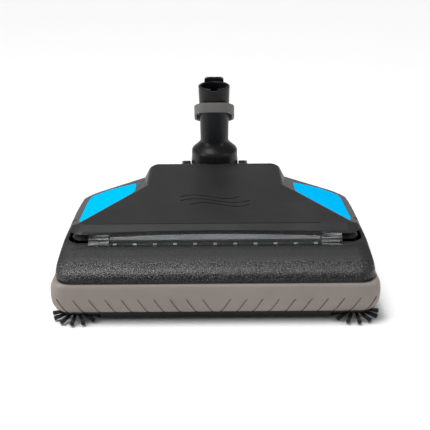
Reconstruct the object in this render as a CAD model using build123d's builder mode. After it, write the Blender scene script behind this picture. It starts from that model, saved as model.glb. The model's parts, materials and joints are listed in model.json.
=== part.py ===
"""Motorised floor head for a wet and dry floor cleaner: a powered brush nozzle with a tilting, turning neck.

Frame: millimetres, +Z up, +X to the head's right, -Y to the front, floor at z = 0.
"""

import math
import os

from build123d import *

# ---------------------------------------------------------------- driving dimensions
WALL = 2.8  # moulded shell thickness
PARTING = 0.4  # gap between neighbouring shells
HOOD_LOW = 46.9  # bottom edge of the hood and the cover
BODY_REAR, PLAN_CORNER, REAR_CORNER, SIDE_TAPER = 79.0, 20.0, 23.0, 13.0
TAPER_Y0, TAPER_Y1 = -150.0, 90.0  # the flanks draw in evenly between these
HUMP_REAR = 88.0  # rear wall of the raised middle part
HOOD_TOP, HOOD_REAR = 75.0, -45.0  # the hood is below and in front of these

# the deck rises gently to the rear; each rear shoulder is a flat facet falling away from it
DECK_Y, DECK_Z, DECK_RISE = -75.0, 89.5, 0.075
SHOULDER_X, SHOULDER_Y, SHOULDER_Z = 152.6, -72.5, 89.6
SHOULDER_ACROSS, SHOULDER_BACK = 0.3293, 0.1729

# body section above the bumper: hood front as (y, z), flank as (half width, z)
HOOD_CURVE = (
    (-137.0, 46.9), (-136.8, 49.4), (-133.0, 56.0), (-127.0, 60.0), (-118.0, 63.0), (-109.0, 66.0),
    (-103.0, 69.0), (-98.0, 74.0),
)
FLANK_CURVE = (
    (175.4, 46.9), (175.2, 49.4), (174.9, 56.0), (174.3, 63.0), (171.3, 74.0), (164.6, 86.0),
    (154.5, 94.0), (140.0, 101.0),
)
# height, front and half width of the same body where its front corners are rounded in plan
CORNER_LEVELS = (
    (40.0, -137.0, 175.4), (49.4, -136.8, 175.3), (56.0, -133.0, 175.0), (60.0, -127.0, 174.8),
    (63.0, -118.0, 174.3), (66.0, -109.0, 173.8), (69.0, -103.0, 172.9), (74.0, -98.0, 171.3),
    (80.0, -92.0, 168.4), (86.0, -86.0, 164.6), (91.0, -72.0, 160.2), (140.0, -60.0, 156.0),
)
LIP_Y, LIP_Z = -86.0, 86.0
FRONT_CORNER, CORNER_ROOM = 19.0, 0.6

# bumper: height, front face, half width
BUMPER_SECTIONS = (
    (12.6, -135.6, 175.0),
    (17.0, -138.2, 177.8),
    (23.0, -139.6, 179.5),
    (30.0, -140.0, 180.0),
    (38.0, -139.9, 179.7),
    (43.0, -139.4, 178.8),
    (46.5, -137.2, 176.6),
)
BUMPER_END, CHEVRON_PITCH, CHEVRON_TOP, CHEVRON_LEAN = 42.0, 17.5, 30.0, 31.0
CHEVRON_WIDTH, CHEVRON_DEPTH, CHEVRONS = 1.8, 1.2, 10

# chassis tray
TRAY_HALF, TRAY_FRONT, TRAY_LOW, TRAY_HIGH, TRAY_WALL = 171.4, -133.4, 9.0, 46.4, 2.5

# sloping light bay across the front
LIGHT_HALF, LIGHT_LOW_Y, LIGHT_LOW_Z = 139.5, -98.3, 73.7
LIGHT_HEIGHT, LIGHT_ARCH, LIGHT_DEEP = 14.6, 3.6, 9.0
LENS_END, GUIDE_LOW, GUIDE_TOP = 21.0, 8.4, 11.6
LED_COUNT, LED_PITCH = 11, 22.2

# brush roll, its tunnel and its belt drive
ROLL_Y, ROLL_Z = -97.5, 29.0
CORE_R, BRISTLE_R, TUNNEL_R, TUNNEL_WALL = 15.5, 27.5, 30.0, 2.0
ROLL_HALF, TUNNEL_HALF, JOURNAL_R, BEARING_R = 125.0, 128.5, 5.0, 10.0
BRISTLE_ROWS, TUFTS_PER_ROW, TUFT_R = 4, 20, 2.6
BELT_X, BELT_WIDE, BELT_T = -139.0, 7.0, 1.5
ROLL_PULLEY_R, MOTOR_PULLEY_R = 14.0, 6.5
MOTOR_Y, MOTOR_Z, MOTOR_R, MOTOR_X0, MOTOR_X1 = -8.0, 46.0, 23.0, -124.0, -44.0

# edge brushes in the front corners
EDGE_X, EDGE_Y, EDGE_TUFTS, EDGE_HUB_R, EDGE_REACH = 152.4, -120.0, 13, 7.5, 27.0

# rear wheels, trunnion and neck
WHEEL_Y, WHEEL_R, WHEEL_IN, WHEEL_OUT, AXLE_R = 116.5, 28.0, 46.0, 64.0, 3.0
NECK_Y, PIVOT_Z = 110.5, 78.0
BARREL_R, BARREL_HALF, PIVOT_R, EAR_R, EAR_IN, EAR_OUT = 22.0, 29.4, 8.0, 16.0, 30.6, 42.0
STUB_R, STUB_BORE_R, STUB_TOP = 17.0, 14.5, 112.0
BELL_R, BELL_LOW, NECK_TOP = 28.8, 96.5, 194.4
SOCKET_R, SOCKET_LOW = 16.3, 150.0
RING_Z, RING_TILT, RING_HIGH, RING_HALF, RING_WALL, RING_DEEP = 159.4, 31.0, 12.0, 24.9, 2.8, 22.6

# accent panel outline on the left shoulder facet, from the facet's own origin
PANEL = (
    (1.2, 6.0), (-1.6, 16.0), (-8.6, 114.0), (-7.4, 137.5), (12.0, 145.5), (31.0, 141.0),
    (52.0, 131.5), (55.6, 88.0), (53.2, 78.0),
)
PANEL_THICK = 1.8

DUCT_HALF, DUCT_WALL = 26.0, 2.0
DUCT_SECTIONS = ((-73.5, 31.0, 22.0), (-20.0, 33.0, 30.0), (40.0, 42.0, 34.0), (100.0, 66.0, 22.0))
SCREW_POSTS = ((150.0, -52.0), (128.0, 62.0), (62.0, 66.0))
PARTS = "parts"
os.makedirs(PARTS, exist_ok=True)


# ---------------------------------------------------------------- helpers
def save(part, name):
    """Labels a finished piece and writes it as parts/NAME.step."""
    part.label = name
    export_step(part, f"{PARTS}/{name}.step")
    return part


def mirrored(part):
    """The same piece on the other side of the head."""
    return mirror(part, about=Plane.YZ)


def block(x0, x1, y0, y1, z0, z1):
    """A box between two corners."""
    with BuildPart() as box:
        with Locations(((x0 + x1) / 2, (y0 + y1) / 2, (z0 + z1) / 2)):
            Box(x1 - x0, y1 - y0, z1 - z0)
    return box.part


def prism(points, x0, x1):
    """A bar along X whose section is the polygon of (y, z) points."""
    with BuildPart() as bar:
        with BuildSketch(Plane.YZ.offset(x0)):
            with BuildLine():
                Polyline(*points, close=True)
            make_face()
        extrude(amount=x1 - x0)
    return bar.part


def rod(radius, x0, x1, y, z):
    """A round bar along X."""
    with BuildPart() as bar:
        with BuildSketch(Plane.YZ.offset(x0)):
            with Locations((y, z)):
                Circle(radius)
        extrude(amount=x1 - x0)
    return bar.part


def post(radius, x, y, z0, z1):
    """A round bar along Z."""
    with BuildPart() as bar:
        with BuildSketch(Plane.XY.offset(z0)):
            with Locations((x, y)):
                Circle(radius)
        extrude(amount=z1 - z0)
    return bar.part


def plan_outline(half_front, half_rear, front, rear, r_front, r_rear):
    """A plan view of the body: a slightly tapered rectangle with round corners."""
    with BuildSketch() as outline:
        with BuildLine():
            Polyline(
                (-half_front, front), (half_front, front), (half_rear, rear), (-half_rear, rear),
                close=True,
            )
        make_face()
        fillet(outline.vertices().group_by(Axis.Y)[0], r_front)
        fillet(outline.vertices().group_by(Axis.Y)[-1], r_rear)
    return outline.sketch


def tapered_outline(half, front, rear, r_front, r_rear):
    """A plan outline with flanks parallel to the tray's; half is measured at the tray's front."""
    slope = SIDE_TAPER / (BODY_REAR - 4 - TRAY_FRONT)
    half_front, half_rear = half - slope * (front - TRAY_FRONT), half - slope * (rear - TRAY_FRONT)
    return plan_outline(half_front, half_rear, front, rear, r_front, r_rear)


# ---------------------------------------------------------------- outer form of the body
def deck_plane(sink=0.0):
    """The plane of the top deck, or one parallel to it and lower by sink."""
    normal = Vector(0, -DECK_RISE, 1).normalized()
    return Plane(origin=Vector(0, DECK_Y, DECK_Z) - normal * sink, x_dir=(1, 0, 0), z_dir=normal)


def shoulder_plane(side, sink=0.0):
    """A rear shoulder facet: side -1 is the left one, +1 the right one."""
    normal = Vector(side * SHOULDER_ACROSS, SHOULDER_BACK, 1).normalized()
    origin = Vector(side * SHOULDER_X, SHOULDER_Y, SHOULDER_Z) - normal * sink
    return Plane(origin=origin, x_dir=(1, 0, -side * SHOULDER_ACROSS), z_dir=normal)


def hump_form(inset):
    """The raised middle part over the duct, with leaning sides and rounded edges."""
    with BuildPart() as form:
        for high, half in ((40.0, 110.0), (110.0, 75.0)):
            with BuildSketch(Plane.XY.offset(high)) as outline:
                with Locations((0, (HUMP_REAR - inset - 30) / 2)):
                    Rectangle(2 * (half - inset), HUMP_REAR - inset + 30)
                fillet(outline.vertices().group_by(Axis.Y)[-1], 14.0 - inset)
        loft()
        split(bisect_by=deck_plane(inset), keep=Keep.BOTTOM)
        rim = form.faces().sort_by(Axis.Z)[-1].edges().sort_by(Axis.Y)[1:]
        fillet(rim, 6.5 - inset)
    return form.part


def hood_bar(inset):
    """A bar along X with the body's side view: hood, light bay, lip and deck."""
    curve = [(y + inset, z - inset) for y, z in HOOD_CURVE]
    low = HOOD_CURVE[0][1] - inset
    rear = BODY_REAR - inset
    deck = DECK_Z + DECK_RISE * (BODY_REAR - DECK_Y) - inset
    with BuildPart() as bar:
        with BuildSketch(Plane.YZ.offset(-190)):
            with BuildLine():
                Spline(*curve)
                Polyline(
                    curve[-1], (LIP_Y + inset, LIP_Z - inset), (DECK_Y + inset, DECK_Z - inset),
                    (rear, deck), (rear, low), curve[0],
                )
            make_face()
        extrude(amount=380)
    return bar.part


def flank_bar(inset):
    """A bar along Y with the body's front view, a little narrower at the rear."""
    with BuildPart() as bar:
        for y, shift in ((TAPER_Y0, -inset), (TAPER_Y1, -inset - SIDE_TAPER)):
            curve = [(x + shift, z - inset) for x, z in FLANK_CURVE]
            other = [(-x, z) for x, z in reversed(curve)]
            with BuildSketch(Plane.XZ.offset(-y)):
                with BuildLine():
                    Spline(*curve)
                    Line(curve[-1], other[0])
                    Spline(*other)
                    Line(other[-1], curve[0])
                make_face()
        loft()
    return bar.part


def corner_form(inset):
    """A solid just larger than the body that rounds its front corners in plan at every height."""
    slope = SIDE_TAPER / (TAPER_Y1 - TAPER_Y0)
    with BuildPart() as form:
        for high, front, half in CORNER_LEVELS:
            near, wide = front + inset - CORNER_ROOM, half - inset + CORNER_ROOM
            halves = [wide - slope * (y - TAPER_Y0) for y in (near, 200.0)]
            with BuildSketch(Plane.XY.offset(high - inset)):
                add(plan_outline(*halves, near, 200.0, FRONT_CORNER - inset, 5.0))
        loft(ruled=True)
    return form.part


def wide_form(inset):
    """The wide part of the body as a solid, moved inwards by inset."""
    half, front, rear = FLANK_CURVE[0][0] - inset, HOOD_CURVE[0][0] + inset, BODY_REAR - inset
    with BuildPart() as form:
        add(hood_bar(inset))
        add(flank_bar(inset), mode=Mode.INTERSECT)
        with BuildSketch():
            add(plan_outline(half, half - SIDE_TAPER, front, rear, PLAN_CORNER - inset, REAR_CORNER - inset))
        extrude(amount=200, mode=Mode.INTERSECT)
        add(corner_form(inset), mode=Mode.INTERSECT)
    return form.part


def body_form(inset, shoulder_sink):
    """The whole upper body as a solid, moved inwards by inset."""
    with BuildPart() as form:
        add(wide_form(inset))
        for side in (-1, 1):
            split(bisect_by=shoulder_plane(side, shoulder_sink), keep=Keep.BOTTOM)
        add(hump_form(inset))
        split(bisect_by=Plane.XY.offset(HOOD_LOW - (2.0 if inset else 0.0)), keep=Keep.TOP)
    return form.part


def light_plane():
    """The sloping plane of the light lens: x across, y up the slope, z outwards."""
    slope = math.sqrt(0.5)
    return Plane(origin=(0, LIGHT_LOW_Y, LIGHT_LOW_Z), x_dir=(1, 0, 0), z_dir=(0, -slope, slope))


def light_block(grow, outside, inside, half=LIGHT_HALF):
    """A solid with the lens outline, from outside in front of the light plane to inside behind it."""
    half, low, high = half + grow, -grow, LIGHT_HEIGHT + grow
    with BuildPart() as solid:
        with BuildSketch(light_plane().offset(outside)):
            with BuildLine():
                Polyline((-half, high), (-half, low), (half, low), (half, high))
                ThreePointArc((half, high), (0, high + LIGHT_ARCH), (-half, high))
            make_face()
        extrude(amount=-(outside + inside))
    return solid.part


def panel_block(side, grow, sink0, sink1):
    """An accent panel's outline between two depths under its shoulder facet."""
    points = [(-side * u, v) for u, v in PANEL]
    with BuildPart() as solid:
        with BuildSketch(shoulder_plane(side, sink1)) as outline:
            with BuildLine():
                Polyline(*points, close=True)
            make_face()
            fillet(outline.vertices(), 2.0)
            if grow:
                offset(amount=grow)
        extrude(amount=sink1 - sink0)
    return solid.part


# ---------------------------------------------------------------- upper shells
def build_shells():
    """Top cover and front hood, cut from one hollow form along the parting groove."""
    outer = body_form(0.0, 0.0)
    shell = outer - body_form(WALL, WALL + 2.0)
    shell -= light_block(0.35, 12.0, LIGHT_DEEP + 1.0)
    band = (outer - wide_form(8.0)) & block(-190, 190, -150, HOOD_REAR + 6, HOOD_TOP, 88.0)
    band -= block(-LIGHT_HALF - 1, LIGHT_HALF + 1, -150, 0, 70, 90)
    groove = (outer - wide_form(5.2)) & block(-190, 190, -150, HOOD_REAR, HOOD_TOP - 0.3, 83.4)
    foot = (outer - wide_form(2.0)) & block(-190, 190, -150, 100, 40, 50.4)
    front = block(-190, 190, -150, HOOD_REAR, 40, HOOD_TOP)
    gap = block(-190, 190, -150, HOOD_REAR + PARTING, 40, HOOD_TOP + PARTING)
    hood = (shell & front) - groove - foot
    cover = (shell + band) - gap - groove - foot
    cover -= post(30.2, 0, NECK_Y, 60, 120)
    cover -= block(-43.2, 43.2, 60, 100, 40, 83)
    for side in (-1, 1):
        cover -= panel_block(side, 0.2, -1.0, PANEL_THICK + 0.1)
    with BuildPart() as decorated:
        add(cover)
        for row, (half, shift) in enumerate(((34, -6), (40, 0), (34, 6))):
            y = -15.0 - 10.0 * row + 10.0
            with BuildSketch(deck_plane(0.7)):
                with BuildLine() as wave:
                    Spline(
                        (-half + shift, y + 72), (-half / 2 + shift, y + 77), (shift, y + 72),
                        (half / 2 + shift, y + 67), (half + shift, y + 72),
                    )
                trace(wave.line, line_width=1.5)
            extrude(amount=3.0, mode=Mode.SUBTRACT)
        with BuildSketch(deck_plane(0.4)):
            with Locations((0, 1.5)):
                Rectangle(236.0, 0.8)
        extrude(amount=3.0, mode=Mode.SUBTRACT)
    return hood, decorated.part


def build_bumper():
    """Soft bumper: a U round the front and flanks, with slanted grooves in its lower half."""
    def outline(grow):
        with BuildPart() as form:
            for high, front, half in BUMPER_SECTIONS:
                with BuildSketch(Plane.XY.offset(high)):
                    add(tapered_outline(half + grow, front - grow, 90.0, 16.0 + grow, 5.0))
            loft()
        return form.part

    outer = outline(0.0)
    with BuildPart() as bumper:
        add(outer)
        with BuildSketch(Plane.XY.offset(0.0)):
            add(tapered_outline(TRAY_HALF + 0.3, TRAY_FRONT - 0.3, 120.0, 12.0, 5.0))
        extrude(amount=60.0, mode=Mode.SUBTRACT)
        with Locations((0, BUMPER_END + 100.0, 30.0)):
            Box(400, 200, 60, mode=Mode.SUBTRACT)
    skin = outer - outline(-CHEVRON_DEPTH)
    with BuildPart() as cuts:
        for side in (-1, 1):
            for step in range(CHEVRONS):
                foot = side * (4.0 + CHEVRON_PITCH * step)
                lean = side * math.tan(math.radians(CHEVRON_LEAN)) * (CHEVRON_TOP - 12.0)
                with BuildSketch(Plane.XZ.offset(120.0)):
                    with BuildLine():
                        Polyline(
                            (foot, 12.0), (foot + CHEVRON_WIDTH * 1.2, 12.0),
                            (foot + lean + CHEVRON_WIDTH * 1.2, CHEVRON_TOP), (foot + lean, CHEVRON_TOP),
                            close=True,
                        )
                    make_face()
                extrude(amount=40.0, dir=(0, -1, 0))
    return bumper.part - (skin & cuts.part)


# ---------------------------------------------------------------- light bar
def build_light():
    """Clear lens with solid ends, the tray behind it, the lamp board, its lamps and a light guide."""
    hollow = light_block(-1.8, -1.8, LIGHT_DEEP + 1.0, LIGHT_HALF - LENS_END)
    lens = light_block(0.0, 0.0, LIGHT_DEEP) - hollow
    inner = LIGHT_HALF - LENS_END - 2.6
    middle = light_plane().offset(-LIGHT_DEEP - 0.1)
    with BuildPart() as tray:
        with BuildSketch(middle):
            with Locations((0, LIGHT_HEIGHT / 2 + 1.0)):
                Rectangle(2 * LIGHT_HALF - 4, LIGHT_HEIGHT + 2)
        extrude(amount=-1.6)
    with BuildPart() as board:
        with BuildSketch(middle.offset(0.2)):
            with Locations((0, 4.6)):
                Rectangle(2 * inner, 5.0)
        extrude(amount=1.2)
    with BuildPart() as lamps:
        for step in range(LED_COUNT):
            x = (step - (LED_COUNT - 1) / 2) * LED_PITCH
            with BuildSketch(middle.offset(1.5)):
                with Locations((x, 4.6)):
                    Rectangle(4.0, 2.0)
            extrude(amount=1.2)
    with BuildPart() as guide:
        with BuildSketch(middle.offset(0.2)):
            with BuildLine():
                Polyline((-inner, GUIDE_TOP), (-inner, GUIDE_LOW), (inner, GUIDE_LOW), (inner, GUIDE_TOP))
                ThreePointArc((inner, GUIDE_TOP), (0, GUIDE_TOP + 0.8 * LIGHT_ARCH), (-inner, GUIDE_TOP))
            make_face()
        extrude(amount=6.2)
    return lens, tray.part, board.part, lamps.part, guide.part


# ---------------------------------------------------------------- chassis, sole and glides
def arm_profile():
    """Side view of a trunnion arm: from the tray up to the pivot and down to the wheel axle."""
    with BuildSketch() as profile:
        with Locations((NECK_Y, PIVOT_Z)):
            Circle(EAR_R)
        with Locations((WHEEL_Y, WHEEL_R)):
            Circle(9.0)
        make_hull()
        with BuildLine():
            Polyline(
                (60, TRAY_LOW + 2), (60, 52), (NECK_Y - 13.5, 86), (NECK_Y + 2, 60), (WHEEL_Y, 19.2),
                close=True,
            )
        make_face()
    return profile.sketch


def build_chassis():
    """Tray that carries the drive and the brush tunnel, with the two trunnion arms at the rear."""
    with BuildPart() as tray:
        with BuildSketch(Plane.XY.offset(TRAY_LOW)):
            add(tapered_outline(TRAY_HALF, TRAY_FRONT, BODY_REAR - 4, 14.0, REAR_CORNER - 3.0))
        extrude(amount=TRAY_HIGH - TRAY_LOW)
        with BuildSketch(Plane.XY.offset(TRAY_LOW + TRAY_WALL)):
            inside = (TRAY_HALF - TRAY_WALL, TRAY_FRONT + TRAY_WALL, BODY_REAR - 4 - TRAY_WALL)
            add(tapered_outline(*inside, 14.0 - TRAY_WALL, REAR_CORNER - 3.0 - TRAY_WALL))
        extrude(amount=80.0, mode=Mode.SUBTRACT)
    chassis = tray.part
    for side in (-1, 1):
        with BuildPart() as arm:
            with BuildSketch(Plane.YZ.offset(EAR_IN if side > 0 else -EAR_OUT)):
                add(arm_profile())
            extrude(amount=EAR_OUT - EAR_IN)
            with BuildSketch(Plane.XZ.offset(-150)):
                with Locations((side * (EAR_IN + EAR_OUT) / 2, PIVOT_Z + EAR_R - 60)):
                    RectangleRounded(EAR_OUT - EAR_IN, 120, 5.0)
            extrude(amount=200, mode=Mode.INTERSECT)
        chassis += arm.part
        chassis += post(EDGE_HUB_R + 3.0, side * EDGE_X, EDGE_Y, TRAY_LOW, 15.0)
        chassis += post(6.0, side * EDGE_X, EDGE_Y, 14.0, 30.0)
    chassis += block(-EAR_IN - 1, EAR_IN + 1, 70, 84, TRAY_LOW, 14.0)
    # brush window, bearing walls and duct passage
    window = TUNNEL_HALF + 4.6
    chassis -= block(-window, window, ROLL_Y - 34.0, ROLL_Y + 34.0, 0, TRAY_LOW + TRAY_WALL + 0.1)
    chassis -= block(-DUCT_HALF - 3, DUCT_HALF + 3, 60, 100, TRAY_LOW + 8, 120)
    for side in (-1, 1):
        for x, y in SCREW_POSTS:
            chassis += post(3.5, side * x, y, TRAY_LOW, 50.0)
    chassis -= rod(PIVOT_R + 0.05, -EAR_OUT + 2.0, EAR_OUT - 2.0, NECK_Y, PIVOT_Z)
    chassis -= rod(AXLE_R, -EAR_OUT - 1, EAR_OUT + 1, WHEEL_Y, WHEEL_R)
    chassis -= block(-EAR_IN, EAR_IN, 90, 150, 0, 140)
    for side in (-1, 1):
        chassis -= post(2.5, side * EDGE_X, EDGE_Y, 0, 24.0)
        chassis -= post(EDGE_HUB_R + 1.0, side * EDGE_X, EDGE_Y, 0, 12.4) - post(2.5, side * EDGE_X, EDGE_Y, 0, 13)
        for x, y in SCREW_POSTS:
            chassis -= post(1.5, side * x, y, 0, 60.0)
    return chassis


def build_sole():
    """Sole plate under the tray, with the ribbed brush window and a raised front lip."""
    with BuildPart() as sole:
        with BuildSketch(Plane.XY.offset(3.2)):
            add(tapered_outline(TRAY_HALF - 2, TRAY_FRONT + 2, BODY_REAR - 6, 12.0, REAR_CORNER - 5.0))
        extrude(amount=TRAY_LOW - 3.2 - 0.1)
        with BuildSketch(Plane.XY.offset(0)):
            with Locations((0, ROLL_Y)):
                RectangleRounded(2 * 122.0, 64.0, 6.0)
            for side in (-1, 1):
                with Locations((side * EDGE_X, EDGE_Y)):
                    Circle(EDGE_REACH + 1.8)
        extrude(amount=20.0, mode=Mode.SUBTRACT)
        for x, y in SCREW_POSTS:
            with Locations((x, y), (-x, y)):
                Hole(1.7)
    return sole.part


def build_glides():
    """Low skids that the front of the head stands on."""
    with BuildPart() as pads:
        for x in (-140.0, 140.0):
            with BuildSketch(Plane.XY):
                with Locations((x, -66.0)):
                    RectangleRounded(10.0, 26.0, 4.0)
            extrude(amount=3.1)
        chamfer(pads.edges().group_by(Axis.Z)[0], 1.0)
    return pads.part


# ---------------------------------------------------------------- brush roll, tunnel and air duct
def duct_solid(grow):
    """The air passage from the tunnel to the trunnion, or its outside when grown by the wall."""
    with BuildPart() as duct:
        for y, z, high in DUCT_SECTIONS:
            with BuildSketch(Plane.XZ.offset(-y)):
                with Locations((0, z)):
                    RectangleRounded(2 * (DUCT_HALF - DUCT_WALL + grow), high + 2 * grow, 4.0 + grow)
        loft(ruled=True)
    return duct.part


def build_tunnel():
    """Round tunnel over the brush roll with bearing walls, open to the floor and to the duct."""
    outer_r = TUNNEL_R + TUNNEL_WALL
    tunnel = rod(outer_r, -TUNNEL_HALF, TUNNEL_HALF, ROLL_Y, ROLL_Z)
    tunnel -= rod(TUNNEL_R, -TUNNEL_HALF - 1, TUNNEL_HALF + 1, ROLL_Y, ROLL_Z)
    for side in (-1, 1):
        x0, x1 = sorted((side * TUNNEL_HALF, side * (TUNNEL_HALF + 3.0)))
        tunnel += rod(outer_r, x0, x1, ROLL_Y, ROLL_Z)
    tunnel -= block(-200, 200, -200, 0, -20, TRAY_LOW + TRAY_WALL + 0.3)
    tunnel -= rod(BEARING_R, -150, 150, ROLL_Y, ROLL_Z)
    tunnel -= duct_solid(0.0)
    return tunnel


def build_duct():
    """Duct from the tunnel's rear to the seat that the trunnion barrel turns in."""
    seat = rod(BARREL_R + 3.2, -BARREL_HALF + 0.6, BARREL_HALF - 0.6, NECK_Y, PIVOT_Z)
    hollow = rod(BARREL_R + 0.4, -60, 60, NECK_Y, PIVOT_Z)
    with BuildPart() as keep:
        with BuildSketch(Plane.YZ.offset(-40)):
            with BuildLine():
                Polyline(
                    (NECK_Y, PIVOT_Z), (NECK_Y - 60, PIVOT_Z + 2), (NECK_Y - 60, 0), (NECK_Y + 41.4, 0),
                    (NECK_Y + 41.4, PIVOT_Z - 40.0), close=True,
                )
            make_face()
        extrude(amount=80)
    walls = duct_solid(DUCT_WALL) & block(-60, 60, ROLL_Y + 10, NECK_Y, 0, 120)
    duct = walls + (seat & keep.part)
    duct -= duct_solid(0.0)
    duct -= hollow
    duct -= rod(TUNNEL_R + TUNNEL_WALL + 0.05, -100, 100, ROLL_Y, ROLL_Z)
    duct -= block(-60, 60, NECK_Y - 25.2, NECK_Y + 60, PIVOT_Z + 2.0, 140)
    return duct.solids().sort_by(SortBy.VOLUME)[-1]


def build_roll():
    """Brush roll core with end discs and journals."""
    roll = rod(CORE_R, -ROLL_HALF, ROLL_HALF, ROLL_Y, ROLL_Z)
    roll += rod(JOURNAL_R, BELT_X - 5.0, TUNNEL_HALF + 2.8, ROLL_Y, ROLL_Z)
    return roll


def build_bristles():
    """Tufts in helical rows that run to the middle from both ends."""
    with BuildPart() as tufts:
        for row in range(BRISTLE_ROWS):
            for step in range(TUFTS_PER_ROW):
                x = -ROLL_HALF + 7.0 + step * (2 * ROLL_HALF - 14.0) / (TUFTS_PER_ROW - 1)
                angle = 360.0 / BRISTLE_ROWS * row + 75.0 * abs(x) / ROLL_HALF
                spot = Location((x, ROLL_Y, ROLL_Z), (angle, 0, 0))
                with Locations(spot * Location((0, 0, (CORE_R + BRISTLE_R) / 2 + 0.1))):
                    Cylinder(TUFT_R, BRISTLE_R - CORE_R - 0.2)
    return tufts.part


def build_roll_caps():
    """Discs that close the ends of the bristle field."""
    caps = []
    for side in (-1, 1):
        x0, x1 = sorted((side * (ROLL_HALF + 0.1), side * (ROLL_HALF + 2.6)))
        caps.append(rod(CORE_R + 4.0, x0, x1, ROLL_Y, ROLL_Z) - rod(JOURNAL_R, x0 - 1, x1 + 1, ROLL_Y, ROLL_Z))
    return Compound(children=caps)


def build_bearing(side):
    """Plain bearing of the roll in a tunnel wall."""
    x0, x1 = sorted((side * (TUNNEL_HALF + 0.2), side * (TUNNEL_HALF + 3.0)))
    return rod(BEARING_R, x0, x1, ROLL_Y, ROLL_Z) - rod(JOURNAL_R + 0.05, x0 - 1, x1 + 1, ROLL_Y, ROLL_Z)


def pulley(radius, bore, y, z):
    """Flanged belt pulley at the belt plane."""
    x0, x1 = BELT_X - BELT_WIDE / 2, BELT_X + BELT_WIDE / 2
    wheel = rod(radius, x0 - 0.4, x1 + 0.4, y, z)
    wheel += rod(radius + 1.2, x0 - 1.4, x0 - 0.4, y, z)
    wheel += rod(radius + 1.2, x1 + 0.4, x1 + 1.4, y, z)
    return wheel - rod(bore, x0 - 3, x1 + 3, y, z)


def build_belt():
    """Flat loop round both pulleys."""
    loops = []
    for grow in (BELT_T + 0.06, 0.06):
        with BuildPart() as loop:
            with BuildSketch(Plane.YZ.offset(BELT_X - BELT_WIDE / 2)):
                with Locations((ROLL_Y, ROLL_Z)):
                    Circle(ROLL_PULLEY_R + grow)
                with Locations((MOTOR_Y, MOTOR_Z)):
                    Circle(MOTOR_PULLEY_R + grow)
                make_hull()
            extrude(amount=BELT_WIDE)
        loops.append(loop.part)
    return loops[0] - loops[1]


def build_motor():
    """Can, end bell, rotor shaft, cradle and strap of the brush motor."""
    y, z = MOTOR_Y, MOTOR_Z
    can = rod(MOTOR_R, MOTOR_X0 + 8, MOTOR_X1, y, z) - rod(MOTOR_R - 1.5, MOTOR_X0 + 7, MOTOR_X1 - 1.5, y, z)
    bell = rod(MOTOR_R, MOTOR_X0, MOTOR_X0 + 7.9, y, z) - rod(MOTOR_R - 4, MOTOR_X0 + 2.4, MOTOR_X0 + 9, y, z)
    bell += rod(8.0, MOTOR_X0 - 2.5, MOTOR_X0, y, z)
    bell -= rod(2.55, MOTOR_X0 - 10, MOTOR_X1, y, z)
    shaft = rod(2.5, BELT_X - 5.5, MOTOR_X1 - 4, y, z)
    armature = rod(MOTOR_R - 5.0, MOTOR_X0 + 14, MOTOR_X1 - 8, y, z) - rod(2.5, MOTOR_X0, MOTOR_X1, y, z)
    feet = []
    for x in (MOTOR_X0 + 16, MOTOR_X1 - 16):
        foot = block(x - 5, x + 5, y - MOTOR_R - 3, y + MOTOR_R + 3, TRAY_LOW + TRAY_WALL, z - 2)
        feet.append(foot - rod(MOTOR_R + 0.1, x - 20, x + 20, y, z))
    straps = []
    for x in (MOTOR_X0 + 16, MOTOR_X1 - 16):
        strap = rod(MOTOR_R + 1.6, x - 4, x + 4, y, z) - rod(MOTOR_R + 0.1, x - 5, x + 5, y, z)
        straps.append(strap & block(x - 5, x + 5, y - 40, y + 40, z - 1.9, z + 40))
    return can, bell, shaft, armature, Compound(children=feet), Compound(children=straps)


# ---------------------------------------------------------------- electronics
def build_electronics():
    """Control board on standoffs, its components and the cable to the motor."""
    board = block(60, 130, -40, 20, 24.0, 25.6)
    posts = []
    for x in (64, 126):
        for y in (-36, 16):
            board -= post(1.5, x, y, 20, 30)
            posts.append(post(3.0, x, y, TRAY_LOW + TRAY_WALL, 23.9))
    parts = [
        block(66, 82, -30, -14, 25.7, 37.0),
        block(90, 104, -32, -20, 25.7, 33.0),
        post(6.0, 114, -24, 25.7, 43.0),
        post(6.0, 114, -8, 25.7, 43.0),
        block(70, 84, -4, 12, 25.7, 30.0),
        block(92, 104, 2, 14, 25.7, 31.0),
    ]
    motor_lead = held_cable(
        ((-43.9, -8, 52), (-32, -8, 52), (-12, -9, 59), (52, -4, 53), (77, 4, 48), (77, 4, 30.1)), 1.8
    )
    slope = math.sqrt(0.5)
    tray_y, tray_z = LIGHT_LOW_Y + 17.4 * slope, LIGHT_LOW_Z - 5.0 * slope
    lamp_lead = held_cable(
        (
            (74, -26, 37.1), (74, -26, 58), (78, -50, 66), (84, tray_y + 9, tray_z - 9),
            (84, tray_y, tray_z),
        ),
        1.4,
    )
    return board, Compound(children=posts), Compound(children=parts), motor_lead, lamp_lead


def held_cable(points, radius):
    """A round cable along straight runs joined by arcs as large as the runs allow."""
    spots = [Vector(*point) for point in points]
    radii = []
    for before, here, after in zip(spots, spots[1:], spots[2:]):
        turn = (here - before).get_angle(after - here)
        shorter = min((here - before).length, (after - here).length)
        radii.append(0.45 * shorter / math.tan(math.radians(turn) / 2))
    with BuildPart() as cable:
        with BuildLine() as path:
            FilletPolyline(*spots, radius=radii)
        with BuildSketch(Plane(origin=path.line @ 0, z_dir=path.line % 0)):
            Circle(radius)
        sweep(transition=Transition.ROUND)
    return cable.part


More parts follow.
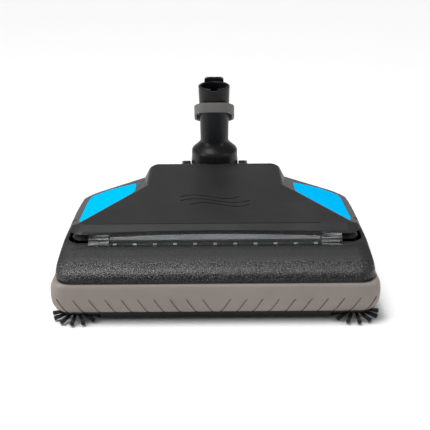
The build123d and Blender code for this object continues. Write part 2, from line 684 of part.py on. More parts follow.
# ---------------------------------------------------------------- edge brushes and wheels
def build_edge_brush():
    """Hub and splayed tufts of the left edge brush."""
    x, y = -EDGE_X, EDGE_Y
    hub = post(EDGE_HUB_R, x, y, 4.6, 12.0) - post(2.56, x, y, 0, 20)
    with BuildPart() as tufts:
        for step in range(EDGE_TUFTS):
            spin = 360.0 / EDGE_TUFTS * (step + 0.5)
            reach = EDGE_REACH - EDGE_HUB_R
            drop = 3.8
            length = math.hypot(reach, drop)
            lean = 90.0 + math.degrees(math.atan2(drop, reach))
            spot = Location((x, y, 7.1), (0, 0, spin)) * Location((EDGE_HUB_R + 0.4, 0, 0), (0, lean, 0))
            with Locations(spot * Location((0, 0, length / 2))):
                Cone(1.5, 2.7, length)
    pin = post(2.5, x, y, 3.6, 24.0) + post(4.2, x, y, 2.4, 3.6 + 0.7)
    return hub, tufts.part, pin


def build_wheel():
    """Hub, tyre and axle of the left rear wheel."""
    x0, x1 = -WHEEL_OUT, -WHEEL_IN
    y, z = WHEEL_Y, WHEEL_R
    hub = rod(WHEEL_R - 4.0, x0, x1, y, z) - rod(AXLE_R + 0.06, x0 - 1, x1 + 1, y, z)
    recess = rod(WHEEL_R - 7.0, x0 - 1, x0 + 6, y, z) - rod(7.0, x0 - 2, x0 + 7, y, z)
    hub -= recess
    for step in range(6):
        with BuildPart() as spoke:
            with Locations(Location((x0 + 3.5, y, z), (60 * step, 0, 0)) * Location((0, 0, 14.0))):
                Box(5.0, 2.4, 15.0)
        hub += spoke.part
    with BuildPart() as tyre:
        with BuildSketch(Plane.YZ.offset(x0)):
            with Locations((y, z)):
                Circle(WHEEL_R)
                Circle(WHEEL_R - 4.0, mode=Mode.SUBTRACT)
        extrude(amount=x1 - x0)
        rims = tyre.edges().filter_by(GeomType.CIRCLE).filter_by(lambda e: e.radius > WHEEL_R - 1)
        fillet(rims, 1.6)
    axle = rod(AXLE_R, x0 - 0.5, -EAR_IN, y, z) + rod(5.5, x0 - 2.6, x0 - 0.3, y, z)
    return hub, tyre.part, axle


# ---------------------------------------------------------------- neck
def build_elbow():
    """Hollow trunnion barrel with pivot bosses, an air slot and the stub the neck turns on."""
    elbow = rod(BARREL_R, -BARREL_HALF, BARREL_HALF, NECK_Y, PIVOT_Z)
    elbow += post(STUB_R, 0, NECK_Y, PIVOT_Z, STUB_TOP)
    elbow -= rod(BARREL_R - 3.0, -BARREL_HALF + 4.6, BARREL_HALF - 4.6, NECK_Y, PIVOT_Z)
    elbow -= post(60, 0, NECK_Y, BELL_LOW - 0.4, STUB_TOP) - post(25.2, 0, NECK_Y, 0, 200)
    elbow -= retainer_ring()
    elbow -= post(STUB_BORE_R, 0, NECK_Y, PIVOT_Z, STUB_TOP + 1)
    slot = []
    for degrees in range(14, 131, 13):
        turn = math.radians(degrees)
        slot.append((NECK_Y - 40 * math.cos(turn), PIVOT_Z - 40 * math.sin(turn)))
    with BuildPart() as window:
        with BuildSketch(Plane.YZ.offset(-20)):
            with BuildLine():
                Polyline((NECK_Y, PIVOT_Z), *slot, close=True)
            make_face()
        extrude(amount=40)
    elbow -= window.part
    for side in (-1, 1):
        x0, x1 = sorted((side * (BARREL_HALF - 1), side * (EAR_OUT - 2.2)))
        elbow += rod(PIVOT_R, x0, x1, NECK_Y, PIVOT_Z)
    return elbow


def retainer_ring():
    """Ring clipped into the stub's groove; it holds the neck's collar down."""
    return post(STUB_R + 3.4, 0, NECK_Y, 105.4, 107.6) - post(STUB_R - 1.0, 0, NECK_Y, 100, 120)


def build_collar():
    """Collar fixed inside the bell, under the retainer ring."""
    return post(25.6, 0, NECK_Y, 101.4, 105.2) - post(STUB_R + 0.08, 0, NECK_Y, 90, 120)


def build_neck():
    """Neck: a bell over the stub, a slender waist and the wand socket with its keyway."""
    with BuildPart() as neck:
        with BuildSketch(Plane.XZ):
            with BuildLine():
                Polyline((0, BELL_LOW), (BELL_R, BELL_LOW), (BELL_R, 109.0))
                Spline(
                    (BELL_R, 109.0), (BELL_R - 2.6, 114.0), (20.0, 119.6), (17.6, 123.6),
                    tangents=((0, 1), (-0.35, 1)),
                )
                Polyline(
                    (17.6, 123.6), (17.9, 145.0), (18.7, 172.0), (19.5, NECK_TOP), (0, NECK_TOP),
                    (0, BELL_LOW),
                )
            make_face()
        revolve(axis=Axis.Z)
        with BuildSketch(Plane.XZ):
            with BuildLine():
                Polyline(
                    (0, BELL_LOW - 1), (25.6, BELL_LOW - 1), (25.6, 108.6), (STUB_R + 0.08, 108.6),
                    (STUB_R + 0.08, STUB_TOP + 0.5), (14.6, STUB_TOP + 3.5), (14.6, SOCKET_LOW - 2.0),
                    (SOCKET_R, SOCKET_LOW), (SOCKET_R, NECK_TOP + 1), (0, NECK_TOP + 1), close=True,
                )
            make_face()
        revolve(axis=Axis.Z, mode=Mode.SUBTRACT)
        rim = neck.faces().filter_by(Plane.XY).sort_by(Axis.Z)[-1]
        chamfer(rim.edges(), 0.8)
    shape = neck.part
    # fine parting grooves in front and behind, a keyway at the rim and a vent at the foot
    for y0, y1 in ((-40.0, -10.0), (10.0, 40.0)):
        skin = block(-0.35, 0.35, y0, y1, BELL_LOW - 1, NECK_TOP + 1)
        core = shrunken_neck()
        shape -= skin - core
    shape -= block(-4.5, 4.5, -30, -10, NECK_TOP - 2.6, NECK_TOP + 5)
    shape -= block(-6.6, 6.6, -40, -20, BELL_LOW - 1, BELL_LOW + 2.2)
    shape -= rod(2.0, -30, 30, 0, RING_Z) - rod(2.0, -17.2, 17.2, 0, RING_Z)
    return shape.moved(Location((0, NECK_Y, 0)))


def shrunken_neck():
    """The neck's outer form, half a millimetre smaller all round."""
    with BuildPart() as core:
        with BuildSketch(Plane.XZ):
            with BuildLine():
                Polyline((0, BELL_LOW - 2), (BELL_R - 0.5, BELL_LOW - 2), (BELL_R - 0.5, 109.0))
                Spline(
                    (BELL_R - 0.5, 109.0), (BELL_R - 3.1, 113.6), (19.6, 119.1), (17.1, 123.6),
                    tangents=((0, 1), (-0.35, 1)),
                )
                Polyline(
                    (17.1, 123.6), (17.4, 145.0), (18.2, 172.0), (19.0, NECK_TOP + 2), (0, NECK_TOP + 2),
                    (0, BELL_LOW - 2),
                )
            make_face()
        revolve(axis=Axis.Z)
    return core.part


def build_connector():
    """Plug housing behind the rim, the spine below it and the two contacts."""
    housing = block(-12.0, 12.0, 14.0, 26.5, 156.5, 198.3)
    with BuildPart() as shaped:
        add(housing)
        rear = shaped.edges().filter_by(Axis.Z).group_by(Axis.Y)[-1]
        fillet(rear, 5.0)
        fillet(shaped.edges().group_by(Axis.Z)[-1], 2.2)
    shape = shaped.part - outer_neck_post()
    contacts = []
    for x in (-4.4, 4.0):
        shape -= block(x - 1.7, x + 1.7, 20.6, 23.6, 180.0, 200.0)
        contacts.append(block(x - 1.0, x + 1.0, 21.6, 22.6, 180.1, 196.0))
    back = Location((0, NECK_Y, 0))
    return shape.moved(back), Compound(children=[c.moved(back) for c in contacts])


def outer_neck_post():
    """Clearance form of the neck for pieces that sit against it."""
    with BuildPart() as form:
        with BuildSketch(Plane.XZ):
            with BuildLine():
                Polyline(
                    (0, 140), (17.9, 140), (18.0, 145.0), (18.8, 172.0), (19.6, NECK_TOP), (19.6, 210), (0, 210),
                    close=True,
                )
            make_face()
        revolve(axis=Axis.Z)
    return form.part


def build_ring():
    """Release ring: an upright square-shouldered band, cut so that it slopes down to the rear."""
    front, rear = NECK_Y - RING_DEEP, NECK_Y + RING_DEEP + 1.0
    top = RING_Z + RING_HIGH / 2
    drop = math.tan(math.radians(RING_TILT))
    with BuildPart() as ring:
        with BuildSketch(Plane.XY.offset(RING_Z - 60)):
            with Locations((0, (front + rear) / 2)):
                RectangleRounded(2 * RING_HALF, rear - front, 15.0)
        extrude(amount=120)
        with BuildSketch(Plane.XY.offset(RING_Z - 60)):
            with Locations((0, (front + rear) / 2)):
                RectangleRounded(2 * (RING_HALF - RING_WALL), rear - front - 2 * RING_WALL, 15.0 - RING_WALL)
        extrude(amount=120, mode=Mode.SUBTRACT)
        add(
            prism(
                (
                    (NECK_Y - 40, top + 40 * drop), (NECK_Y + 40, top - 40 * drop),
                    (NECK_Y + 40, top - RING_HIGH - 40 * drop), (NECK_Y - 40, top - RING_HIGH + 40 * drop),
                ),
                -50, 50,
            ),
            mode=Mode.INTERSECT,
        )
        outside = ring.edges().filter_by(
            lambda edge: edge.center().Z > RING_Z + 10 and abs(edge.tangent_at(0.5).Z) < 0.6
        )
        chamfer(outside, 0.5)
    shape = ring.part - rod(2.06, -40, 40, NECK_Y, RING_Z)
    pins = []
    for side in (-1, 1):
        x0, x1 = sorted((side * 17.3, side * (RING_HALF - 0.4)))
        pins.append(rod(2.0, x0, x1, NECK_Y, RING_Z))
    return shape, Compound(children=pins)


def build_screws():
    """Identical screws through the sole plate into the posts of the tray."""
    screws = []
    for x, y in SCREW_POSTS:
        for side in (-1, 1):
            screws.append(post(1.45, side * x, y, 3.0, 30.0) + post(3.0, side * x, y, 1.8, 3.1))
    return Compound(children=screws)


# ---------------------------------------------------------------- output
def main():
    """Builds every piece and writes it to the parts folder."""
    hood, cover = build_shells()
    save(hood, "front_hood")
    save(cover, "top_cover")
    save(build_bumper(), "bumper")
    left = panel_block(-1, 0.0, 0.0, PANEL_THICK)
    save(left, "accent_panel_left")
    save(panel_block(1, 0.0, 0.0, PANEL_THICK), "accent_panel_right")
    names = ("light_lens", "light_tray", "light_board", "light_lamps", "light_guide")
    for piece, name in zip(build_light(), names):
        save(piece, name)
    save(build_chassis(), "chassis_tray")
    save(build_sole(), "sole_plate")
    save(build_glides(), "front_glides")
    save(build_screws(), "sole_screws")
    save(build_tunnel(), "brush_tunnel")
    save(build_duct(), "suction_duct")
    save(build_roll(), "brush_roll_core")
    save(build_bristles(), "brush_roll_tufts")
    save(build_roll_caps(), "brush_roll_end_discs")
    save(build_bearing(-1), "roll_bearing_left")
    save(build_bearing(1), "roll_bearing_right")
    save(pulley(ROLL_PULLEY_R, JOURNAL_R, ROLL_Y, ROLL_Z), "roll_pulley")
    save(pulley(MOTOR_PULLEY_R, 2.5, MOTOR_Y, MOTOR_Z), "motor_pulley")
    save(build_belt(), "drive_belt")
    names = ("motor_can", "motor_end_bell", "motor_shaft", "motor_armature", "motor_cradle", "motor_straps")
    for piece, name in zip(build_motor(), names):
        save(piece, name)
    names = ("control_board", "board_standoffs", "board_components", "motor_cable", "lamp_cable")
    for piece, name in zip(build_electronics(), names):
        save(piece, name)
    for piece, name in zip(build_edge_brush(), ("edge_brush_hub", "edge_brush_tufts", "edge_brush_pin")):
        save(piece, name + "_left")
        save(mirrored(piece), name + "_right")
    for piece, name in zip(build_wheel(), ("wheel_hub", "wheel_tyre", "wheel_axle")):
        save(piece, name + "_left")
        save(mirrored(piece), name + "_right")
    save(build_elbow(), "trunnion_elbow")
    save(retainer_ring(), "neck_retainer")
    save(build_collar(), "neck_collar")
    save(build_neck(), "neck_tube")
    housing, contacts = build_connector()
    save(housing, "connector_housing")
    save(contacts, "connector_contacts")
    ring, pins = build_ring()
    save(ring, "release_ring")
    save(pins, "ring_pins")


main()
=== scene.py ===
"""Looks, light and camera for the powered floor cleaning head."""

import json
import math
import random

import bmesh
import bpy
from mathutils import Matrix, Vector


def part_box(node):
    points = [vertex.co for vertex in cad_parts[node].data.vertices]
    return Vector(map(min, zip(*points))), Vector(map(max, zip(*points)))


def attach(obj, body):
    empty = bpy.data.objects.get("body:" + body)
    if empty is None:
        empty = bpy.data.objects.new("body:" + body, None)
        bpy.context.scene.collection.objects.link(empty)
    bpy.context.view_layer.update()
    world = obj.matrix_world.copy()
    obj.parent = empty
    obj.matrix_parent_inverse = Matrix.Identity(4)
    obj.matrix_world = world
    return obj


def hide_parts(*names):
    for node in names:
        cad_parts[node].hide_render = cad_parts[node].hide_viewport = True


# camera, in metres and degrees
SENSOR_MM, LENS_MM = 36.0, 83.7
CAMERA_PLACE = (0.0, -1.088, 0.545)
CAMERA_PITCH, CAMERA_ROLL = -23.7, -0.42

# surroundings: strength at the horizon and above, and the heights between which it fades
HORIZON_STRENGTH, SKY_STRENGTH = 1.0, 0.30
FADE_LOW, FADE_HIGH = 0.07, 0.18

# sun: strength, angle across, turn about X and Y in degrees
SUN_STRENGTH, SUN_ACROSS, SUN_TURN_X, SUN_TURN_Y = 2.3, 24.0, -5.0, -14.0

# lamps: name, place, aim, size in metres, watts
LAMPS = (
    ("strip", (-0.12, -0.12, 1.25), (0, -0.12, 0.05), (0.8, 0.10), 1.0),
    ("left", (-1.0, -0.35, 0.75), (0, 0, 0.05), (0.25, 0.7), 5.0),
    ("right", (1.0, -0.35, 0.75), (0, 0, 0.05), (0.2, 0.6), 2.0),
)

# floor: half its side in metres, brightness, roughness, specular level
FLOOR_HALF, FLOOR_WHITE, FLOOR_ROUGH, FLOOR_SPECULAR = 6, 0.90, 0.9, 0.1

# moulded pieces: slot, colour, roughness, grain, relief in metres, mottling, specular level
PLASTICS = (
    ("cover_black", (0.013, 0.013, 0.014), 0.42, 2100.0, 0.00006, 0.25, 0.32),
    ("bumper_grey", (0.236, 0.203, 0.185), 0.62, 1700.0, 0.00010, 0.10, 0.5),
    ("black_plastic", (0.006, 0.006, 0.007), 0.34, 1500.0, 0.00008, 0.25, 0.22),
    ("guide_grey", (0.27, 0.28, 0.29), 0.25, 900.0, 0.0001, 0.25, 0.5),
    ("glide_white", (0.62, 0.62, 0.60), 0.35, 1200.0, 0.00006, 0.25, 0.5),
    ("roll_core", (0.045, 0.05, 0.055), 0.4, 1200.0, 0.00008, 0.25, 0.5),
    ("belt_rubber", (0.016, 0.016, 0.017), 0.7, 900.0, 0.00015, 0.25, 0.5),
    ("component_dark", (0.03, 0.03, 0.032), 0.45, 700.0, 0.0001, 0.25, 0.5),
    ("cable_black", (0.018, 0.018, 0.019), 0.5, 800.0, 0.0001, 0.25, 0.5),
    ("ring_grey", (0.142, 0.137, 0.131), 0.5, 1300.0, 0.00012, 0.2, 0.5),
)

# where the hood turns rougher and darker with painted shade, and where the lens turns cloudy,
# in metres
HOOD_DULL_AND_SHADED_FROM, HOOD_DULL_AND_SHADED_TO = -0.118, -0.108
LENS_CLOUDY_FROM, LENS_CLOUDY_TO = 0.1165, 0.1180

# tufts: node, body, axis of the hub, hairs in each, hair radius in metres
TUFTS = (
    ("edge_brush_tufts_left", "edge_left", (0, 0, 1), 60, 0.00021),
    ("edge_brush_tufts_right", "edge_right", (0, 0, 1), 60, 0.00021),
    ("brush_roll_tufts", "roll", (1, 0, 0), 26, 0.00022),
)
GOLDEN_ANGLE = 2.399963
STRAND_SIDES = 4
WELD_DISTANCE = 1e-7
END_SHARE = 0.15
MIDDLE_AT, WANDER, UNEVEN, TIP_TAPER = 0.55, 0.02, 0.05, 0.7

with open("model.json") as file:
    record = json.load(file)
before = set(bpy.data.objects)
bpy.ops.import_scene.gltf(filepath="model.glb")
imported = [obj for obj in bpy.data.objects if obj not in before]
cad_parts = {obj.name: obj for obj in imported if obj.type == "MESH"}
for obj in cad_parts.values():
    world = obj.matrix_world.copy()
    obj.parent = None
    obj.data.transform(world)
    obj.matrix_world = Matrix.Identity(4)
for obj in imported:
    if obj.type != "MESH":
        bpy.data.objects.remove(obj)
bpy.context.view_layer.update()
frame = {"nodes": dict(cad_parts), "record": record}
nodes = frame["nodes"]


# ---------------------------------------------------------------- camera, light and floor
def add_object(name, data):
    """A new object in the scene."""
    made = bpy.data.objects.new(name, data)
    bpy.context.scene.collection.objects.link(made)
    return made


def build_camera():
    """Camera in front of the head and above it, with a slight roll; plain colour response."""
    bpy.context.scene.view_settings.view_transform = "Standard"
    data = bpy.data.cameras.new("camera")
    data.sensor_width = SENSOR_MM
    data.lens = LENS_MM
    camera = add_object("camera", data)
    tilt = Matrix.Rotation(math.radians(90.0 + CAMERA_PITCH), 4, "X")
    roll = Matrix.Rotation(math.radians(CAMERA_ROLL), 4, "Z")
    camera.matrix_world = Matrix.Translation(CAMERA_PLACE) @ tilt @ roll
    bpy.context.scene.camera = camera


def build_surroundings():
    """Bright at the horizon and dim above."""
    world = bpy.data.worlds.new("studio")
    bpy.context.scene.world = world
    world.use_nodes = True
    tree = world.node_tree
    back = tree.nodes["Background"]
    back.inputs["Color"].default_value = (1.0, 1.0, 1.0, 1.0)
    height = tree.nodes.new("ShaderNodeSeparateXYZ")
    fade = tree.nodes.new("ShaderNodeMapRange")
    fade.inputs["From Min"].default_value = FADE_LOW
    fade.inputs["From Max"].default_value = FADE_HIGH
    fade.inputs["To Min"].default_value = HORIZON_STRENGTH
    fade.inputs["To Max"].default_value = SKY_STRENGTH
    source = tree.nodes.new("ShaderNodeTexCoord").outputs["Generated"]
    tree.links.new(source, height.inputs["Vector"])
    tree.links.new(height.outputs["Z"], fade.inputs["Value"])
    tree.links.new(fade.outputs["Result"], back.inputs["Strength"])


def build_floor():
    """A plain pale floor."""
    half = FLOOR_HALF
    corners = [(-half, -half, 0), (half, -half, 0), (half, half, 0), (-half, half, 0)]
    mesh = bpy.data.meshes.new("floor")
    mesh.from_pydata(corners, [], [(0, 1, 2, 3)])
    floor = add_object("floor", mesh)
    white = bpy.data.materials.new("floor_white")
    white.use_nodes = True
    shader = white.node_tree.nodes["Principled BSDF"]
    shader.inputs["Base Color"].default_value = (FLOOR_WHITE, FLOOR_WHITE, FLOOR_WHITE, 1.0)
    shader.inputs["Roughness"].default_value = FLOOR_ROUGH
    shader.inputs["Specular IOR Level"].default_value = FLOOR_SPECULAR
    mesh.materials.append(white)


def build_lights():
    """A soft sun and three rectangular lamps that each look at a point."""
    data = bpy.data.lights.new("sun", "SUN")
    data.energy = SUN_STRENGTH
    data.angle = math.radians(SUN_ACROSS)
    sun = add_object("sun", data)
    sun.rotation_euler = (math.radians(SUN_TURN_X), math.radians(SUN_TURN_Y), 0.0)
    for name, place, aim, size, watts in LAMPS:
        data = bpy.data.lights.new(name, "AREA")
        data.shape = "RECTANGLE"
        data.size, data.size_y = size
        data.energy = watts
        lamp = add_object(name, data)
        lamp.location = place
        towards = Vector(aim) - Vector(place)
        lamp.rotation_euler = towards.to_track_quat("-Z", "Y").to_euler()


# ---------------------------------------------------------------- materials
class Look:
    """A principled material with helpers that add procedural detail to it."""

    def __init__(self, name, color, rough=0.5, metallic=0.0):
        self.material = bpy.data.materials.new(name)
        self.material.use_nodes = True
        self.tree = self.material.node_tree
        self.shader = self.tree.nodes["Principled BSDF"]
        self.shader.inputs["Base Color"].default_value = (*color, 1.0)
        self.shader.inputs["Roughness"].default_value = rough
        self.shader.inputs["Metallic"].default_value = metallic
        self.color = color
        self.place = self.node("ShaderNodeTexCoord").outputs["Object"]
        self.height = None

    def node(self, kind, **values):
        """A new shader node with the given properties."""
        made = self.tree.nodes.new(kind)
        for name, value in values.items():
            setattr(made, name, value)
        return made

    def link(self, source, target):
        """Joins an output to an input."""
        self.tree.links.new(source, target)

    def set(self, **values):
        """Plain values on the shader's sockets; an underscore stands for a space."""
        for name, value in values.items():
            self.shader.inputs[name.replace("_", " ")].default_value = value
        return self

    def stretched(self, scale):
        """Object coordinates scaled by a different factor along each axis."""
        mapping = self.node("ShaderNodeMapping")
        mapping.inputs["Scale"].default_value = scale
        self.link(self.place, mapping.inputs["Vector"])
        return mapping.outputs["Vector"]

    def noise(self, scale, detail=3.0, rough=0.55, place=None):
        """Cloudy noise in 0..1."""
        texture = self.node("ShaderNodeTexNoise")
        texture.inputs["Scale"].default_value = scale
        texture.inputs["Detail"].default_value = detail
        texture.inputs["Roughness"].default_value = rough
        self.link(place or self.place, texture.inputs["Vector"])
        return texture.outputs["Fac"]

    def along(self, axis):
        """Object coordinate along one axis."""
        split = self.node("ShaderNodeSeparateXYZ")
        self.link(self.place, split.inputs["Vector"])
        return split.outputs[axis]

    def calculate(self, operation, *sources):
        """A sum, product or other operation on one or two sources."""
        made = self.node("ShaderNodeMath", operation=operation)
        for source, socket in zip(sources, made.inputs):
            self.link(source, socket)
        return made.outputs["Value"]

    def cells(self, scale, feature="F1"):
        """Distance pattern of scattered cells."""
        texture = self.node("ShaderNodeTexVoronoi", feature=feature)
        texture.inputs["Scale"].default_value = scale
        self.link(self.place, texture.inputs["Vector"])
        return texture.outputs["Distance"]

    def ramp(self, source, low, high, start=0.0, end=1.0):
        """Maps low..high of a source to start..end."""
        made = self.node("ShaderNodeMapRange")
        made.inputs["From Min"].default_value = low
        made.inputs["From Max"].default_value = high
        made.inputs["To Min"].default_value = start
        made.inputs["To Max"].default_value = end
        self.link(source, made.inputs["Value"])
        return made.outputs["Result"]

    def tint(self, source, other):
        """Mixes another colour into the base colour by a 0..1 source."""
        socket = self.shader.inputs["Base Color"]
        mix = self.node("ShaderNodeMix", data_type="RGBA")
        colors = [i for i in mix.inputs if i.type == "RGBA"]
        if socket.links:
            self.link(socket.links[0].from_socket, colors[0])
        else:
            colors[0].default_value = (*self.color, 1.0)
        colors[1].default_value = (*other, 1.0)
        self.link(source, mix.inputs["Factor"])
        self.link([o for o in mix.outputs if o.type == "RGBA"][0], socket)
        return self

    def vary_roughness(self, source, low, high):
        """Lets the middle of a noise run the roughness from low to high."""
        self.link(self.ramp(source, 0.3, 0.7, low, high), self.shader.inputs["Roughness"])
        return self

    def bump(self, source, strength, distance):
        """Adds a layer of relief; later layers go over earlier ones."""
        made = self.node("ShaderNodeBump")
        made.inputs["Strength"].default_value = strength
        made.inputs["Distance"].default_value = distance
        self.link(source, made.inputs["Height"])
        if self.height is not None:
            self.link(self.height, made.inputs["Normal"])
        self.height = made.outputs["Normal"]
        self.link(self.height, self.shader.inputs["Normal"])
        return self


def moulded(name, color, rough, grain, relief, mottling, specular):
    """Moulded plastic with a fine grain, faint mottling and uneven gloss."""
    look = Look(name, color, rough).set(Specular_IOR_Level=specular)
    fine = look.noise(grain, 2.0)
    broad = look.noise(18.0, 3.0)
    paler = tuple(c * (1.0 + mottling) + 0.004 for c in color)
    look.tint(look.ramp(broad, 0.35, 0.7), paler)
    look.vary_roughness(fine, rough - 0.06, rough + 0.08)
    look.bump(fine, 0.5, relief)
    return look


def spark_grain(name, color, painted_glint, painted_shade):
    """Coarse spark-eroded texture with light flecks painted in as glints; rougher along its
    rear edge and darkened there with painted shade.
    """
    look = Look(name, color).set(Specular_IOR_Level=0.5)
    rear = look.ramp(look.along("Y"), HOOD_DULL_AND_SHADED_FROM, HOOD_DULL_AND_SHADED_TO)
    coarse = look.noise(640.0, 2.0, 0.6)
    pits = look.cells(560.0)
    glint_noise = look.noise(640.0, 2.0, 0.7)
    patches = look.ramp(look.noise(14.0), 0.4, 0.75, 0.0, 0.35)
    # painted glints: pale flecks in the base colour stand in for glints off the grain
    look.tint(look.ramp(glint_noise, 0.56, 0.63), painted_glint)
    look.tint(patches, tuple(c * 1.8 for c in color))
    # painted shade: the base colour darkens towards the rear edge of the hood, next to the
    # lip
    look.tint(rear, painted_shade)
    gloss = look.ramp(coarse, 0.3, 0.7, 0.2, 0.32)
    duller = look.ramp(rear, 0.0, 1.0, 0.0, 0.35)
    look.link(look.calculate("ADD", gloss, duller), look.shader.inputs["Roughness"])
    look.bump(coarse, 1.0, 0.0007)
    look.bump(pits, 0.6, 0.0004)
    return look


def add_scuffs(look):
    """Faint pale scuffs along the bumper."""
    scuff = look.noise(60.0, 5.0, 0.7, look.stretched((0.35, 1.0, 3.0)))
    look.tint(look.ramp(scuff, 0.62, 0.8, 0.0, 0.35), (0.28, 0.25, 0.23))


def add_pale_patches(look):
    """Paler patches on the dark components."""
    look.tint(look.ramp(look.cells(70.0), 0.3, 0.45, 0.0, 0.5), (0.12, 0.12, 0.13))


def dimpled_accent(name):
    """Blue panel with small dimples, their hollows darkened with painted shade."""
    look = Look(name, (0.0, 0.44, 0.92)).set(Specular_IOR_Level=0.0)
    dimples = look.cells(230.0)
    # painted shade: the base colour darkens towards the middle of each dimple
    look.tint(look.ramp(dimples, 0.16, 0.34, 0.55, 0.0), (0.0, 0.27, 0.66))
    look.vary_roughness(look.noise(300.0), 0.32, 0.46)
    look.bump(look.ramp(dimples, 0.05, 0.4), 0.5, 0.0003)
    return look


def clear_lens(name):
    """Clear plastic with cloudy streaks in its two end blocks."""
    look = Look(name, (0.96, 0.97, 0.98), 0.05).set(Transmission_Weight=1.0, IOR=1.49)
    look.bump(look.noise(60.0, 1.0), 0.1, 0.0001)
    across = look.calculate("ABSOLUTE", look.along("X"))
    ends = look.ramp(across, LENS_CLOUDY_FROM, LENS_CLOUDY_TO)
    streaks = look.noise(60.0, 2.0, 0.6, look.stretched((0.4, 6.0, 6.0)))
    cloudy = look.calculate("MULTIPLY", ends, look.ramp(streaks, 0.48, 0.60))
    clear = look.ramp(cloudy, 0.0, 1.0, 1.0, 0.80)
    look.link(clear, look.shader.inputs["Transmission Weight"])
    return look


def circuit_board(name):
    """Green board with lighter tracks."""
    look = Look(name, (0.010, 0.045, 0.028), 0.42)
    tracks = look.cells(260.0, "DISTANCE_TO_EDGE")
    look.tint(look.ramp(tracks, 0.04, 0.08, 0.5, 0.0), (0.03, 0.10, 0.06))
    look.bump(look.ramp(tracks, 0.04, 0.08, 1.0, 0.0), 0.3, 0.0001)
    return look


def lamp_white(name):
    """White lamp bodies with scattered yellow spots."""
    look = Look(name, (0.66, 0.67, 0.65), 0.25)
    look.tint(look.ramp(look.cells(500.0), 0.0, 0.3, 0.5, 0.0), (0.9, 0.75, 0.25))
    return look


def brushed_steel(name):
    """Steel with fine lines along X."""
    look = Look(name, (0.58, 0.58, 0.57), 0.3, 1.0)
    lines = look.noise(40.0, 4.0, 0.6, look.stretched((1.0, 22.0, 22.0)))
    look.vary_roughness(lines, 0.22, 0.42)
    look.bump(lines, 0.25, 0.00005)
    return look


def wound_copper(name):
    """Copper with narrow bands across X, like a winding."""
    look = Look(name, (0.50, 0.22, 0.11), 0.35, 0.9)
    turns = look.noise(60.0, 2.0, 0.5, look.stretched((26.0, 1.0, 1.0)))
    look.tint(look.ramp(turns, 0.4, 0.6, 0.0, 0.6), (0.20, 0.08, 0.04))
    look.bump(turns, 0.6, 0.0003)
    return look


def contact_brass(name):
    """Brass with uneven gloss."""
    look = Look(name, (0.70, 0.50, 0.22), 0.3, 1.0)
    look.vary_roughness(look.noise(500.0), 0.22, 0.4)
    return look


def bristle_black(name):
    """Black bristles with a few greyer strands."""
    look = Look(name, (0.012, 0.012, 0.013), 0.42)
    strands = look.noise(900.0, 2.0, 0.5)
    look.tint(look.ramp(strands, 0.55, 0.75, 0.0, 0.6), (0.055, 0.055, 0.058))
    return look


def build_looks():
    """One material for each slot of the record."""
    looks = {name: moulded(name, *values) for name, *values in PLASTICS}
    add_scuffs(looks["bumper_grey"])
    add_pale_patches(looks["component_dark"])
    # hood: base colour, pale flecks painted in as glints, and painted shade for the rear edge
    looks["hood_black"] = spark_grain(
        "hood_black", (0.005, 0.005, 0.0055), (0.06, 0.058, 0.056), (0.004, 0.004, 0.0045)
    )
    makers = {
        "accent_blue": dimpled_accent,
        "clear_lens": clear_lens,
        "circuit_board": circuit_board,
        "lamp_white": lamp_white,
        "steel": brushed_steel,
        "copper": wound_copper,
        "contact_brass": contact_brass,
        "bristle_black": bristle_black,
    }
    for name, maker in makers.items():
        looks[name] = maker(name)
    return looks


def dress_nodes(looks):
    """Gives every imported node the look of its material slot."""
    slots = {entry["node"]: entry["material_slot"] for entry in frame["record"]["subparts"]}
    for name, obj in nodes.items():
        obj.data.materials.clear()
        obj.data.materials.append(looks[slots[name]].material)


# ---------------------------------------------------------------- bristles
def strand_mesh(name, strands):
    """One mesh of thin tapering strands; each is a list of (point, radius)."""
    mesh = bmesh.new()
    sides = STRAND_SIDES
    for strand in strands:
        rings = []
        direction = (strand[-1][0] - strand[0][0]).normalized()
        across = direction.orthogonal().normalized()
        other = direction.cross(across)
        for point, radius in strand:
            ring = []
            for k in range(sides):
                turn = 2 * math.pi * k / sides
                offset = (across * math.cos(turn) + other * math.sin(turn)) * radius
                ring.append(mesh.verts.new(point + offset))
            rings.append(ring)
        for low, high in zip(rings, rings[1:]):
            for k in range(sides):
                after = (k + 1) % sides
                mesh.faces.new((low[k], low[after], high[after], high[k]))
        mesh.faces.new(list(reversed(rings[0])))
        mesh.faces.new(rings[-1])
    data = bpy.data.meshes.new(name)
    mesh.to_mesh(data)
    mesh.free()
    for polygon in data.polygons:
        polygon.use_smooth = True
    return add_object(name, data)


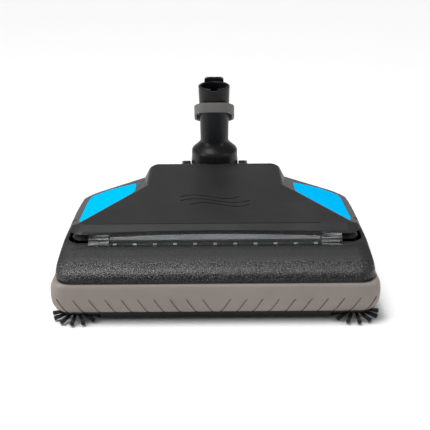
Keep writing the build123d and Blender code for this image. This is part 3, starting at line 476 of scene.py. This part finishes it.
def islands(node):
    """The separate solids of a node, each as a list of points."""
    mesh = bmesh.new()
    mesh.from_mesh(nodes[node].data)
    bmesh.ops.remove_doubles(mesh, verts=mesh.verts, dist=WELD_DISTANCE)
    seen, found = set(), []
    for start in mesh.verts:
        if start in seen:
            continue
        stack, group = [start], []
        seen.add(start)
        while stack:
            vert = stack.pop()
            group.append(vert.co.copy())
            for edge in vert.link_edges:
                neighbour = edge.other_vert(vert)
                if neighbour not in seen:
                    seen.add(neighbour)
                    stack.append(neighbour)
        found.append(group)
    mesh.free()
    return found


def tuft_axis(points, hub, along):
    """Root, tip and the two end radii of one tuft that grows away from an axis line."""
    reach = [(p - hub - along * (p - hub).dot(along)).length for p in points]
    low, high = min(reach), max(reach)
    margin = END_SHARE * (high - low)
    near = [p for p, r in zip(points, reach) if r < low + margin]
    far = [p for p, r in zip(points, reach) if r > high - margin]
    root = sum(near, Vector()) / len(near)
    tip = sum(far, Vector()) / len(far)
    line = (tip - root).normalized()

    def radius(group, middle):
        return max((p - middle - line * (p - middle).dot(line)).length for p in group)

    r_root, r_tip = radius(near, root), radius(far, tip)
    root += line * min((p - root).dot(line) for p in near)
    tip += line * max((p - tip).dot(line) for p in far)
    return root, tip, r_root, r_tip


def bundle(root, tip, r_root, r_tip, count, hair, rng):
    """Strands that fill a tapering tuft and end unevenly at its tip."""
    line = tip - root
    across = line.normalized().orthogonal().normalized()
    other = line.normalized().cross(across)
    strands = []
    for index in range(count):
        turn = index * GOLDEN_ANGLE
        reach = math.sqrt((index + 0.5) / count)
        spread = across * math.cos(turn) + other * math.sin(turn)
        low = root + spread * (reach * (r_root - hair))
        length = 1.0 - UNEVEN * rng.random()
        high = low.lerp(tip + spread * (reach * (r_tip - hair)), length)
        sway = spread * (WANDER * line.length * (rng.random() - 0.5))
        middle = low.lerp(high, MIDDLE_AT) + sway
        strands.append([(low, hair), (middle, hair), (high, hair * TIP_TAPER)])
    return strands


def build_tufts(looks):
    """Real bundles of hairs in place of the solid tufts."""
    for node, body, axis, count, hair in TUFTS:
        rng = random.Random(node)
        low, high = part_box(node)
        hub = (low + high) / 2
        strands = []
        for points in islands(node):
            strands += bundle(*tuft_axis(points, hub, Vector(axis)), count, hair, rng)
        piece = strand_mesh(node.replace("tufts", "hairs"), strands)
        piece.data.materials.append(looks["bristle_black"].material)
        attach(piece, body)
        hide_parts(node)


# ---------------------------------------------------------------- assembly
build_camera()
build_surroundings()
build_floor()
build_lights()
looks = build_looks()
dress_nodes(looks)
build_tufts(looks)
